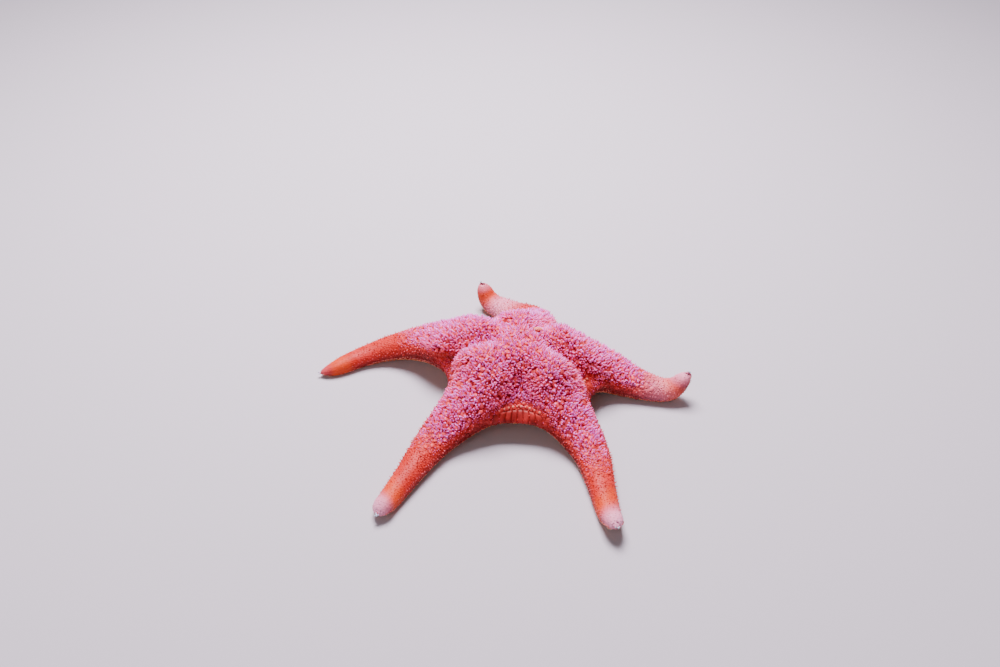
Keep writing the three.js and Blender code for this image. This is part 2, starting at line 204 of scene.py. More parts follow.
def places(p, facing):
    # s: millimetres from the disc's centre along the nearest arm. left: millimetres to its end.
    # gills: how thick the soft gills stand. low: 1 on the underside. furrow: mm out from the furrow's edge.
    # pale: how far the tip's pale cap takes hold, and a painted highlight at a curled arm's bend. band: the
    # orange
    # ring behind it. wall: the disc's steep edge, painted dark as shade. edge: 1 where an arm's side slopes
    # most.
    # crest: 1 where the surface faces up, where the gills take a painted highlight. shade: painted shade
    # where the surface faces down
    fields = np.array([armField(arm, p) for arm in armShapes])
    nearest = fields.argmin(0)
    s, left, fromFurrow, pale, band, dwindle, slim = np.zeros((7, len(p)))
    for i, arm in enumerate(armShapes):
        mine = nearest == i
        if not mine.any():
            continue
        along, on, aside, above = onArm(arm, p[mine])
        s[mine] = on
        left[mine] = arm["length"] - along
        fromFurrow[mine] = np.abs(aside) - furrow(arm, on, "halfWidth")
        span, strength, side = arm["pale"]
        slanted = left[mine] - 0.45 * side * aside
        dwindle[mine] = 1 - smooth(on, *arm["gills"])
        pale[mine] = strength * (1 - smooth(slanted, -0.3 * span, 1.3 * span))
        slim[mine] = arm["slim"] * (1 - smooth(left[mine], 0, 15))
        # a painted highlight where a curled arm bends up into the light
        if "kneeHighlight" in arm:
            at, reach, share = arm["kneeHighlight"]
            pale[mine] = np.maximum(pale[mine], share * np.exp(-((on - at) / reach) ** 2))
        band[mine] = smooth(slanted, 0.6 * span, 1.2 * span) * (1 - smooth(slanted, span + 3, span + 12))
    q = p - centre
    fromCentre = np.hypot(q[:, 0], q[:, 1])
    start = mix(gillZone["lowFacing"], gillZone["outFacing"], smooth(s, 14, 56))
    gills = smooth(facing[:, 2], start, start + gillZone["soft"])
    atEnd = 1 - smooth(left, 0.5, 4)
    pale = pale * np.maximum(smooth(facing[:, 2], -0.7, 0.45), 0.8 * atEnd)
    edgeClear = smooth(p[:, 2], *gillZone["edge"])
    gills = gills * dwindle * mix(edgeClear, 1, smooth(fromCentre, 27, 38))
    low = 1 - smooth(facing[:, 2], -0.75, -0.15)
    # painted shade: surfaces that face down are painted darker, less so at an arm's end
    shade = (1 - smooth(facing[:, 2], -0.35, 0.55)) * (1 - 0.7 * atEnd)
    wall = (1 - smooth(p[:, 2], wallZone["top"] - wallZone["soft"], wallZone["top"])) * smooth(
        facing[:, 2], -0.8, -0.4) * (1 - smooth(fromCentre, *wallZone["reach"]))
    edge = np.exp(-((facing[:, 2] - 0.4) / 0.25) ** 2)
    crest = smooth(facing[:, 2], 0.38, 0.98)
    return {"s": s, "left": left, "gills": gills, "low": low, "furrow": fromFurrow,
            "fromCentre": fromCentre, "pale": pale, "band": band, "wall": wall,
            "shade": shade, "edge": edge, "crest": crest, "slim": slim}


def furrow(arm, s, measure):
    return mix(*furrowShape[measure], np.clip(s / arm["length"], 0, 1))


def coatDepth(place):  # how far the skin lies inside the solids
    return 0.35 + 1.15 * place["gills"] + place["slim"]


# Small tools.

def linear(hexColour):  # sRGB hex to linear red, green, blue, alpha
    parts = [int(hexColour[i:i + 2], 16) / 255 for i in (1, 3, 5)]
    return tuple(c / 12.92 if c <= 0.04045 else ((c + 0.055) / 1.055) ** 2.4 for c in parts) + (1.0,)


def pieceFrom(bm, name):
    mesh = bpy.data.meshes.new(name)
    bm.to_mesh(mesh)
    bm.free()
    piece = bpy.data.objects.new(name, mesh)
    bpy.context.scene.collection.objects.link(piece)
    return piece


def readAll(items, what, width, kind=np.float32):  # one row of numbers for each item
    found = np.zeros(len(items) * width, kind)
    items.foreach_get(what, found)
    return found.reshape(-1, width)


def shadeSmooth(mesh):
    mesh.polygons.foreach_set("use_smooth", np.ones(len(mesh.polygons), bool))


def note(mesh, name, values):  # a number for each vertex, which materials read by name
    mesh.attributes.new(name, "FLOAT", "POINT").data.foreach_set("value", np.asarray(values, np.float32))


def notePlaces(mesh, place, repeat=1):
    for name in ("s", "gills", "low", "pale", "band", "wall", "shade", "edge", "crest"):
        note(mesh, name, np.repeat(place[name], repeat))


def addNode(tree, kind, settings=None, links=None):
    node = tree.nodes.new(kind)
    for key, value in (settings or {}).items():
        if isinstance(key, int) or key in node.inputs:
            node.inputs[key].default_value = value
        else:
            setattr(node, key, value)
    for key, source in (links or {}).items():
        tree.links.new(source, node.inputs[key])
    return node


def dress(piece, material):
    piece.data.materials.clear()
    piece.data.materials.append(material)


# Skin.

skinLook = {"voxel": 0.62, "swell": 0.42, "smoothing": 4, "softness": 0.5, "soleClear": 0.3, "inset": 0.25,
            "furrowEdge": (0.1, 1.5), "turnsUnder": (-0.2, 0.2), "mouthEdge": (4.3, 6), "mouthTop": 13,
            "settles": (-2.6, -1.2), "rounds": 4, "seamAngle": 66, "islandGap": 0.002}
fleshNodes = ["disc"] + [
    f"arm_{arm['name']}_{part}" for arm in armShapes for part in ("inner", "outer", "tip")]


def fuseFlesh():  # copies of the solids, swollen enough to close their thin cuts, made one closed skin
    joined = bmesh.new()
    for node in fleshNodes + ["madreporite"]:
        one = bmesh.new()
        one.from_mesh(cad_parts[node].data)
        bmesh.ops.remove_doubles(one, verts=one.verts, dist=1e-6)
        one.normal_update()
        for vertex in one.verts:
            vertex.co += vertex.normal * skinLook["swell"] * mm
        copy = bpy.data.meshes.new("copy")
        one.to_mesh(copy)
        one.free()
        joined.from_mesh(copy)
        bpy.data.meshes.remove(copy)
    piece = pieceFrom(joined, "skin")
    melt = piece.modifiers.new("melt", "REMESH")
    melt.mode = "VOXEL"
    melt.voxel_size = skinLook["voxel"] * mm
    soften = piece.modifiers.new("soften", "SMOOTH")
    soften.factor = skinLook["softness"]
    soften.iterations = skinLook["smoothing"]
    ready = piece.evaluated_get(bpy.context.evaluated_depsgraph_get())
    fused = bpy.data.meshes.new_from_object(ready)
    piece.modifiers.clear()
    piece.data = fused
    return piece


def keepLargest(piece):
    bm = bmesh.new()
    bm.from_mesh(piece.data)
    seen, islands = set(), []
    for vertex in bm.verts:
        if vertex in seen:
            continue
        island, todo = [], [vertex]
        seen.add(vertex)
        while todo:
            one = todo.pop()
            island.append(one)
            fresh = {edge.other_vert(one) for edge in one.link_edges} - seen
            seen |= fresh
            todo += fresh
        islands.append(island)
    islands.sort(key=len)
    print("skin islands", [len(island) for island in islands])
    for island in islands[:-1]:
        bmesh.ops.delete(bm, geom=island, context="VERTS")
    bm.to_mesh(piece.data)
    bm.free()


def settleSkin(piece):  # the outer skin goes to the body's own surface, less the depth of the coat
    mesh = piece.data
    p = readAll(mesh.vertices, "co", 3).astype(float) / mm
    normals = readAll(mesh.vertex_normals, "vector", 3).astype(float)
    value, facing, size = outward(p)
    place = places(p, facing)
    inFurrow = (1 - smooth(place["furrow"], *skinLook["furrowEdge"])) * smooth(
        -facing[:, 2], *skinLook["turnsUnder"])
    inMouth = (1 - smooth(place["fromCentre"], *skinLook["mouthEdge"])) * (p[:, 2] < skinLook["mouthTop"])
    free = (1 - np.maximum(inFurrow, inMouth)) * smooth(value, *skinLook["settles"])
    inner = p - normals * (skinLook["swell"] + skinLook["inset"])
    outer = p.copy()
    for turn in range(skinLook["rounds"]):
        value, facing, size = outward(outer)
        depth = coatDepth(places(outer, facing))
        outer = outer - facing * ((value + depth) / size)[:, None]
    p = mix(inner, outer, free[:, None])
    p[:, 2] = np.maximum(p[:, 2], skinLook["soleClear"])
    mesh.vertices.foreach_set("co", (p * mm).astype(np.float32).ravel())
    mesh.update()


skin = fuseFlesh()
keepLargest(skin)
settleSkin(skin)
shadeSmooth(skin.data)
print("skin", len(skin.data.vertices))


def unwrapSkin(piece):  # the skin's own shape laid flat: the coat's tufts take their places on it
    bpy.context.view_layer.objects.active = piece
    piece.select_set(True)
    bpy.ops.object.mode_set(mode="EDIT")
    bpy.ops.mesh.select_all(action="SELECT")
    bpy.ops.uv.smart_project(angle_limit=math.radians(skinLook["seamAngle"]),
                             island_margin=skinLook["islandGap"])
    bpy.ops.object.mode_set(mode="OBJECT")
    piece.select_set(False)
    piece.data.uv_layers[0].name = "OFBake"


unwrapSkin(skin)
print("skin unwrapped")

# The skin as arrays of triangles, which the coat is rooted in.
skin.data.calc_loop_triangles()
corners = readAll(skin.data.loop_triangles, "vertices", 3, np.int32)
loops = readAll(skin.data.loop_triangles, "loops", 3, np.int32)
flat = readAll(skin.data.uv_layers["OFBake"].data, "uv", 2)
skinPoints = readAll(skin.data.vertices, "co", 3).astype(float) / mm
skinNormals = readAll(skin.data.vertex_normals, "vector", 3).astype(float)
skinFacing = outward(skinPoints)[1]
skinPlace = places(skinPoints, skinFacing)
notePlaces(skin.data, skinPlace)
triangles = skinPoints[corners]
firstSide, secondSide = triangles[:, 1] - triangles[:, 0], triangles[:, 2] - triangles[:, 0]
areas = np.linalg.norm(np.cross(firstSide, secondSide), axis=1) / 2
print("skin area", round(areas.sum()), "square mm")


def unit(v):
    return v / np.maximum(np.linalg.norm(v, axis=1), 1e-9)[:, None]


def rootsAt(picked, shares):  # a root in each picked triangle, where shares weigh its three corners
    weight = shares[:, :, None]
    return {
        "point": (triangles[picked] * weight).sum(1),
        "normal": unit((skinNormals[corners[picked]] * weight).sum(1)),
        "uv": (flat[loops[picked]] * weight).sum(1),
        "place": {name: (values[corners[picked]] * shares).sum(1) for name, values in skinPlace.items()},
    }


def scatter(count, chanceAt):  # count random roots on the skin, by a chance given for each vertex
    weights = areas * chanceAt[corners].mean(1)
    picked = chance.choice(len(areas), count, p=weights / weights.sum())
    a, b = chance.random(count), chance.random(count)
    flip = a + b > 1
    a, b = np.where(flip, 1 - a, a), np.where(flip, 1 - b, b)
    return rootsAt(picked, np.c_[1 - a - b, a, b])


def thin(roots, spacing):  # keeps roots no closer than spacing, in mm, to those before them
    grid = {}
    spacing = np.broadcast_to(spacing, len(roots["point"]))
    cell = float(np.max(spacing))
    keys = np.floor(roots["point"] / cell).astype(int)
    kept = []
    points = roots["point"].tolist()
    gaps = (spacing * spacing).tolist()
    offsets = [(i, j, k) for i in (-1, 0, 1) for j in (-1, 0, 1) for k in (-1, 0, 1)]
    for n, (i, j, k) in enumerate(keys.tolist()):
        x, y, z = points[n]
        near = (other for di, dj, dk in offsets for other in grid.get((i + di, j + dj, k + dk), ()))
        if all((px - x) ** 2 + (py - y) ** 2 + (pz - z) ** 2 >= gaps[n] for px, py, pz in near):
            grid.setdefault((i, j, k), []).append((x, y, z))
            kept.append(n)
    return pick(roots, np.array(kept))


def pick(roots, which):
    return {name: pick(values, which) if name == "place" else values[which] for name, values in roots.items()}


def clearOf(roots, points, gap):  # drops the roots that stand nearer than gap to any of points
    tree = KDTree(len(points))
    for i, point in enumerate(points):
        tree.insert(point, i)
    tree.balance()
    far = [tree.find(point)[2] > gap for point in roots["point"]]
    return pick(roots, np.array(far))


# Templates of the coat's small parts: one unit tall and one unit in radius, standing on z = 0.

def takeShape(bm):  # the points and triangles of a shape that is then let go
    bmesh.ops.triangulate(bm, faces=bm.faces)
    bm.verts.index_update()
    points = np.array([v.co for v in bm.verts])
    faces = np.array([[v.index for v in f.verts] for f in bm.faces])
    bm.free()
    return points, faces


def template(sides, rings, tip):  # rings: (height, radius) from the root up, tip: the height of its end
    bm = bmesh.new()
    first = bmesh.ops.create_circle(bm, segments=sides, radius=rings[0][1], cap_ends=False)["verts"]
    bmesh.ops.translate(bm, verts=first, vec=(0, 0, rings[0][0]))
    edges = list(bm.edges)
    for (before, radiusBefore), (z, radius) in zip(rings, rings[1:]):
        grown = bmesh.ops.extrude_edge_only(bm, edges=edges)["geom"]
        verts = [g for g in grown if isinstance(g, bmesh.types.BMVert)]
        edges = [g for g in grown if isinstance(g, bmesh.types.BMEdge)]
        bmesh.ops.translate(bm, verts=verts, vec=(0, 0, z - before))
        bmesh.ops.scale(bm, verts=verts, vec=(radius / radiusBefore, radius / radiusBefore, 1))
    grown = bmesh.ops.extrude_edge_only(bm, edges=edges)["geom"]
    verts = [g for g in grown if isinstance(g, bmesh.types.BMVert)]
    bmesh.ops.pointmerge(bm, verts=verts, merge_co=(0, 0, tip))
    bmesh.ops.recalc_face_normals(bm, faces=bm.faces)
    points, faces = takeShape(bm)
    t = points[faces]
    normal = np.cross(t[:, 1] - t[:, 0], t[:, 2] - t[:, 0])
    middle = t.mean(1) - [0, 0, points[:, 2].mean()]
    return points, faces[:, ::-1] if (normal * middle).sum() < 0 else faces


def frames(normal, spin):  # two directions square to each normal, turned by spin
    lean = np.where(np.abs(normal[:, 2:3]) < 0.9, [[0, 0, 1.0]], [[1.0, 0, 0]])
    a = unit(np.cross(lean, normal))
    b = np.cross(normal, a)
    c, s = np.cos(spin)[:, None], np.sin(spin)[:, None]
    return a * c + b * s, b * c - a * s


patch = 0.003  # how wide a tuft's patch is on the skin's unwrap
lowestPoint = 0.02  # mm: nothing in the coat goes below it


def plant(name, shape, roots, radius, tall, lean=None, wide=1.0, bow=None):
    # joins one copy of shape per root. radius and tall in mm, lean: a direction to grow in,
    # wide: how much longer one side is, bow: mm that the end leans over by
    points, faces = shape
    count, size = len(roots["point"]), len(points)
    radius, tall, wide = (np.broadcast_to(given, count) for given in (radius, tall, wide))
    up = unit(roots["normal"] if lean is None else lean)
    a, b = frames(up, chance.random(count) * 2 * math.pi)
    placed = roots["point"][:, None, :] + (
        a[:, None, :] * (points[None, :, 0] * (radius * wide)[:, None])[:, :, None]
        + b[:, None, :] * (points[None, :, 1] * radius[:, None])[:, :, None]
        + up[:, None, :] * (points[None, :, 2] * tall[:, None])[:, :, None])
    if bow is not None:
        placed = placed + a[:, None, :] * (np.clip(points[:, 2], 0, 1) ** 2 * bow[:, None])[:, :, None]
    return joinCopies(name, shape, placed, roots["uv"], roots["place"], size)


def joinCopies(name, shape, placed, rootUv, place, repeat):  # placed: each copy's points, in mm
    points, faces = shape
    count, size = placed.shape[:2]
    placed[:, :, 2] = np.maximum(placed[:, :, 2], lowestPoint)
    verts = placed.reshape(-1, 3) * mm
    index = (faces[None] + (np.arange(count) * size)[:, None, None]).reshape(-1, 3)
    mesh = bpy.data.meshes.new(name)
    mesh.vertices.add(len(verts))
    mesh.vertices.foreach_set("co", verts.astype(np.float32).ravel())
    mesh.loops.add(index.size)
    mesh.loops.foreach_set("vertex_index", index.astype(np.int32).ravel())
    mesh.polygons.add(len(index))
    mesh.polygons.foreach_set("loop_start", np.arange(0, index.size, 3, dtype=np.int32))
    mesh.update(calc_edges=True)
    shadeSmooth(mesh)
    around = np.arctan2(points[:, 1], points[:, 0]) / (2 * math.pi)
    local = np.c_[around, np.clip(points[:, 2], 0, 1) - 0.5] * patch
    uv = (rootUv[:, None, :] + local[None]).reshape(-1, 2)[index.ravel()]
    mesh.uv_layers.new(name="OFBake").data.foreach_set("uv", uv.astype(np.float32).ravel())
    notePlaces(mesh, place, repeat)
    note(mesh, "rise", np.tile(np.clip(points[:, 2], 0, 1), count))
    note(mesh, "luck", np.repeat(chance.random(count), size))
    piece = bpy.data.objects.new(name, mesh)
    bpy.context.scene.collection.objects.link(piece)
    print(name, count, "parts", len(index), "triangles")
    return piece


def patchy(points, size):  # soft random patches about size mm across, each value about -0.6 to 0.6
    return np.array([noise.noise(Vector(point) / size) for point in points])


skinTree = BVHTree.FromPolygons(skinPoints.tolist(), corners.tolist())


def rootsOn(found):  # roots at the places that the tree of the skin's triangles has found
    found = [hit for hit in found if hit[0] is not None]
    at = np.array([hit[0] for hit in found])
    index = np.array([hit[2] for hit in found])
    fromHit = [triangles[index][:, i] - at for i in range(3)]
    parts = [np.linalg.norm(np.cross(fromHit[i - 2], fromHit[i - 1]), axis=1) for i in range(3)]
    shares = np.stack(parts, 1) / np.maximum(np.sum(parts, 0), 1e-9)[:, None]
    return {**rootsAt(index, shares), "point": at}


def vary(roots, sizes):  # a random size for each root: sizes holds the least and how much may come on top
    return sizes[0] + sizes[1] * chance.random(len(roots["point"]))


def jittered(directions, amount):  # directions tipped at random
    return unit(directions + chance.normal(0, amount, (len(directions), 3)))


def grow(name, shape, roots, look, wideBy=1, tallBy=1, lean=None):  # plants by a look, sizes at random
    radius = look["radius"] * vary(roots, look["widths"]) * wideBy
    tall = look["tall"] * vary(roots, look["talls"]) * tallBy
    if "lean" in look:
        lean = jittered(roots["normal"] if lean is None else lean, look["lean"])
    wide = vary(roots, look["wide"]) if "wide" in look else 1.0
    bow = chance.normal(0, look["bow"], len(radius)) if "bow" in look else None
    return plant(name, shape, roots, radius, tall, lean, wide, bow)


def halved(roots, label):  # splits the roots at random into two pieces; two pieces keep each under the limit of triangles
    side = chance.random(len(roots["point"])) < 0.5
    return [(label + "_a", pick(roots, side)), (label + "_b", pick(roots, ~side))]


# The coat.

madreporiteLow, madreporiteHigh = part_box("madreporite")
button = (np.array(madreporiteLow) + np.array(madreporiteHigh)) / 2 / mm
clearing = 2.7  # bare ring round the madreporite

gillLook = {"tried": 110000, "spacing": 0.76, "radius": 0.44, "tall": 1.95, "lean": 0.24,
            "thinAt": 0.03, "clump": 2.9, "clumpFrom": -0.2, "clumpTo": 0.12, "stray": 0.04,
            "widths": (0.75, 0.45), "talls": (0.6, 0.55), "bow": 0.3}
plateLook = {"tried": 36000, "spacing": 1.75, "radius": 1.12, "tall": 0.6, "lean": 0.12,
             "widths": (0.75, 0.45), "talls": (0.7, 0.6), "wide": (1, 0.4)}
granuleLook = {"tried": 80000, "spacing": 0.78, "radius": 0.4, "tall": 0.26, "lean": 0.1, "fromPlate": 0.9,
               "widths": (0.75, 0.4), "talls": (0.7, 0.5), "wide": (1, 0.35)}
gillShape = template(6, [(-0.1, 1.0), (0.35, 0.82), (0.68, 0.56), (0.9, 0.27)], 1.0)
plateShape = template(9, [(-0.3, 1.0), (0.5, 0.9), (0.9, 0.55)], 1.0)
granuleShape = template(6, [(-0.25, 1.0), (0.55, 0.8)], 1.0)

outside = smooth(skinPlace["furrow"], 0.2, 0.8)  # 0 in the furrows and in the mouth
outside = np.maximum(outside, smooth(skinFacing[:, 2], -0.3, 0.2)) * smooth(
    skinPlace["fromCentre"] + 20 * (skinPoints[:, 2] > 14), 4.2, 5)
bareFlank = (1 - smooth(skinPlace["s"], 36, 54)) * smooth(skinFacing[:, 2], -0.4, -0.1) * outside

plateRoots = scatter(plateLook["tried"], np.maximum(skinPlace["gills"], bareFlank) * (1 - skinPlace["wall"]))
plateRoots = pick(plateRoots, plateRoots["place"]["wall"] < 0.25)
plateRoots = clearOf(thin(plateRoots, plateLook["spacing"]), [button], clearing)
gillChance = np.where(skinPlace["gills"] > gillLook["thinAt"], 0.3 + skinPlace["gills"], 0)
gillRoots = scatter(gillLook["tried"], gillChance)
clump = smooth(patchy(gillRoots["point"], gillLook["clump"]), gillLook["clumpFrom"], gillLook["clumpTo"])
gillRoots = pick(gillRoots, chance.random(len(clump)) < gillLook["stray"] + clump)
gillRoots = thin(gillRoots, gillLook["spacing"] * (0.8 + 0.2 * gillRoots["place"]["gills"]))
gillRoots = clearOf(gillRoots, [button], clearing)
granuleChance = (1.05 - skinPlace["gills"]) * outside * (1 - skinPlace["wall"])
granuleRoots = thin(scatter(granuleLook["tried"], granuleChance), granuleLook["spacing"])
granuleRoots = clearOf(granuleRoots, [button], clearing)
granuleRoots = clearOf(granuleRoots, plateRoots["point"], granuleLook["fromPlate"])
print("roots", len(plateRoots["point"]), len(gillRoots["point"]), len(granuleRoots["point"]))

cover = plateRoots["place"]["gills"]
plates = grow("plates", plateShape, plateRoots, plateLook, 0.7 + 0.3 * cover, 0.5 + 0.5 * cover)
gillPieces = []
for label, some in halved(gillRoots, "gills"):
    full = 0.2 + 0.8 * smooth(some["place"]["gills"], 0, 0.8)
    gillPieces.append(grow(label, gillShape, some, gillLook, 0.5 + 0.5 * full, full))
granulePieces = []
for label, some in halved(granuleRoots, "granules"):
    slim = 1 - 0.35 * smooth(some["place"]["s"], 50, 80)
    granulePieces.append(grow(label, granuleShape, some, granuleLook, slim, slim))

# The last gills: small and few, out along the arms. Where they stand on an arm's sloping side, their tips
# carry a painted lilac highlight.

sprigLook = {"tried": 16000, "spacing": 1.15, "radius": 0.24, "tall": 1.05, "from": (30, 44), "lean": 0.3,
             "clearOfTip": (7, 18), "onTop": 0.14, "widths": (0.8, 0.4), "talls": (0.5, 0.7)}
sprigShape = template(5, [(-0.15, 1.0), (0.5, 0.75), (0.85, 0.4)], 1.0)
sprigChance = (1 - skinPlace["gills"]) * smooth(skinPlace["s"], *sprigLook["from"]) * mix(
    sprigLook["onTop"], 1, skinPlace["edge"]) * smooth(skinPlace["left"], *sprigLook["clearOfTip"])
sprigRoots = scatter(sprigLook["tried"], sprigChance * smooth(skinFacing[:, 2], 0, 0.25))
keep = mix(sprigLook["onTop"], 1, sprigRoots["place"]["edge"])
sprigRoots = thin(pick(sprigRoots, chance.random(len(keep)) < keep), sprigLook["spacing"])
slim = 1 - 0.3 * smooth(sprigRoots["place"]["s"], 50, 85)
sprigs = grow("last_gills", sprigShape, sprigRoots, sprigLook, slim, slim)

# The edge plates: tall ones under a row of beads, on the disc's steep edge between the arms.

wallLook = {"step": 0.3, "lowest": 2, "undercut": -0.55, "within": 5, "across": 2.3, "gap": 0.04,
            "rise": 0.36, "bothWays": 36, "outside": 38, "furthest": 31, "middle": 9, "shortest": 1.6,
            "belowBeads": 0.6, "beadSpacing": 1.55, "bead": 0.62, "beadWidths": (0.7, 0.5), "beadsWithin": 27}
notchAzimuths = [44, 116, 190, 265, 338]  # the middle of each gap between two arms


def fromOutside(azimuth, level):  # where a level ray from outside, towards the middle, meets the disc's edge
    away = Vector((math.cos(math.radians(azimuth)), math.sin(math.radians(azimuth)), 0))
    middle = Vector(centre + [0, 0, level])
    hit = skinTree.ray_cast(middle + away * wallLook["outside"], -away)
    return hit if hit[0] is not None and (hit[0] - middle).length < wallLook["furthest"] else None


def alongNotch(azimuth, spacing, level):  # places round one gap's edge at one level, evenly spaced
    found, turn = [], -wallLook["bothWays"]
    while turn < wallLook["bothWays"]:
        hit = fromOutside(azimuth + turn, level)
        if hit:
            found.append((azimuth + turn, hit))
        turn += math.degrees(spacing / math.hypot(hit[0].x - centre[0], hit[0].y - centre[1])) if hit else 1
    return found


def edgeFoot(azimuth):  # how far down the disc's edge reaches at one azimuth, before it turns under
    foot, outermost = None, 0
    for level in np.arange(wallZone["top"], wallLook["lowest"], -wallLook["step"]):
        hit = fromOutside(azimuth, level)
        if not hit or hit[1].z < wallLook["undercut"]:
            break
        radius = (hit[0] - Vector(centre)).xy.length
        outermost = max(outermost, radius)
        if radius < outermost - wallLook["within"]:
            break
        foot = level
    return foot


def sheetTemplate(across, tall):  # a crowned sheet from -1 to 1 both ways, sunk all round its edge
    bm = bmesh.new()
    bmesh.ops.create_grid(bm, x_segments=across, y_segments=tall, size=1)
    points, faces = takeShape(bm)
    rim = np.abs(points[:, :2]).max(1)
    points[:, 2] = np.sqrt(np.maximum(1 - np.abs(points[:, 0]) ** 6, 0)) * (1 - 0.8 * points[:, 1] ** 6)
    points[rim > 0.99, 2] = -0.35
    return points, faces


def drapedPlates(name, shape):  # each sheet laid on the steep edge, point by point
    points, faces = shape
    top = wallZone["top"] - wallLook["belowBeads"]
    hits, middles = [], []
    for azimuth in notchAzimuths:
        for turned, first in alongNotch(azimuth, wallLook["across"], wallLook["middle"]):
            radius = (first[0] - Vector(centre)).xy.length
            half = math.degrees((wallLook["across"] / 2 - wallLook["gap"]) / radius)
            columns = {round(across, 3): edgeFoot(turned + across * half) for across in points[:, 0]}
            if any(foot is None or top - foot < wallLook["shortest"] for foot in columns.values()):
                continue
            found = [
                fromOutside(turned + across * half, mix(columns[round(across, 3)], top, 0.5 + 0.5 * tall))
                for across, tall, rise in points]
            if all(found):
                hits += found
                middles.append(first)
    roots = rootsOn(hits)
    rise = np.tile(points[:, 2], len(middles)) * wallLook["rise"]
    placed = (roots["point"] + roots["normal"] * rise[:, None]).reshape(len(middles), len(points), 3)
    return joinCopies(name, shape, placed, rootsOn(middles)["uv"], roots["place"], 1)


edgePlates = drapedPlates("edge_plates", sheetTemplate(8, 12))
beadHits = [hit for azimuth in notchAzimuths
            for turned, hit in alongNotch(azimuth, wallLook["beadSpacing"], wallZone["top"])]
beadRoots = rootsOn(beadHits)
beadRoots = pick(beadRoots, beadRoots["place"]["fromCentre"] < wallLook["beadsWithin"])
beads = plant("edge_beads", granuleShape, beadRoots,
              wallLook["bead"] * vary(beadRoots, wallLook["beadWidths"]), wallLook["bead"] * 0.9)

# The pale edge of each arm: one row of small beads where side and underside meet.

rimLook = {"from": 30, "clearOfTip": 1.5, "spacing": 0.72, "radius": 0.3, "tall": 0.3, "undercut": -0.15,
           "lowestTilt": 80, "tiltStep": 5, "widths": (0.8, 0.35), "talls": (0.8, 0.4)}


def armPoint(arm, s):  # the centreline at s, and the arm's side, up and along directions there
    i = min(int(s), len(arm["s"]) - 2)
    middle = mix(arm["points"][i], arm["points"][i + 1], s - i)
    return middle, arm["side"][i], arm["up"][i], arm["along"][i]


def rimHit(arm, s, hand):  # looks down from level until the surface turns under
    middle, side, up, along = armPoint(arm, s)
    start = Vector(middle + up * height(arm, s) * bodyShape["widest"])
    best = None
    for tilt in range(0, rimLook["lowestTilt"], rimLook["tiltStep"]):
        angle = math.radians(tilt)
        ray = Vector(side * hand * math.cos(angle) - up * math.sin(angle))
        hit = skinTree.ray_cast(start, ray)
        if hit[0] is None:
            break
        best = hit
        if hit[1].dot(Vector(up)) < rimLook["undercut"]:
            break
    return best


rimHits = [rimHit(arm, s, hand) for arm in armShapes for hand in (1, -1)
           for s in np.arange(rimLook["from"], arm["length"] - rimLook["clearOfTip"], rimLook["spacing"])]
rimRoots = rootsOn([hit for hit in rimHits if hit is not None])
rimBeads = grow("rim_beads", granuleShape, rimRoots, rimLook)

# The furrows under the arms: spines along their edges, ossicles in their roofs, and tube feet.

spineLook = {"from": 6, "clearOfTip": 3, "spacing": 0.95, "rows": (0.35, 1.05), "stagger": 0.4,
             "radius": 0.27, "tall": 1.15, "widths": (0.85, 0.3), "talls": (0.8, 0.35), "lean": 0.12}
footLook = {"from": 6.5, "clearOfTip": 1.5, "pitch": 1.75, "apart": 0.42, "radius": 0.52, "hang": 4.2,
            "splay": 0.3, "sway": 0.16, "clear": 0.06, "hangAtTip": 0.3, "nearTip": (10, 30)}
ossicleLook = {"clearOfTip": 1, "pitch": 1.1, "radius": 0.42, "rise": 0.7, "wide": 1.5}
spineShape = template(6, [(-0.1, 0.9), (0.5, 1.0), (0.9, 0.7)], 1.0)
footShape = template(8, [(-0.05, 1.0), (0.2, 0.86), (0.32, 0.92), (0.46, 0.8), (0.6, 0.85), (0.74, 0.72),
                         (0.86, 0.74), (0.9, 1.15), (0.97, 1.2)], 0.95)

spineHits, spineLeans = [], []
for arm in armShapes:
    for hand in (1, -1):
        for row, out in enumerate(spineLook["rows"]):
            first = spineLook["from"] + spineLook["stagger"] * row
            for s in np.arange(first, arm["length"] - spineLook["clearOfTip"], spineLook["spacing"]):
                middle, side, up, along = armPoint(arm, s)
                breadth = furrow(arm, s, "halfWidth") + out * mix(1, 0.6, s / arm["length"])
                edge = middle + side * hand * breadth
                spineHits.append(skinTree.find_nearest(Vector(edge)))
                spineLeans.append(-up * 0.9 + side * hand * (0.55 * row - 0.25))
spineRoots = rootsOn(spineHits)
slim = 1 - 0.4 * smooth(spineRoots["place"]["s"], 30, 85)
spines = grow("furrow_spines", spineShape, spineRoots, spineLook, slim, slim, np.array(spineLeans))

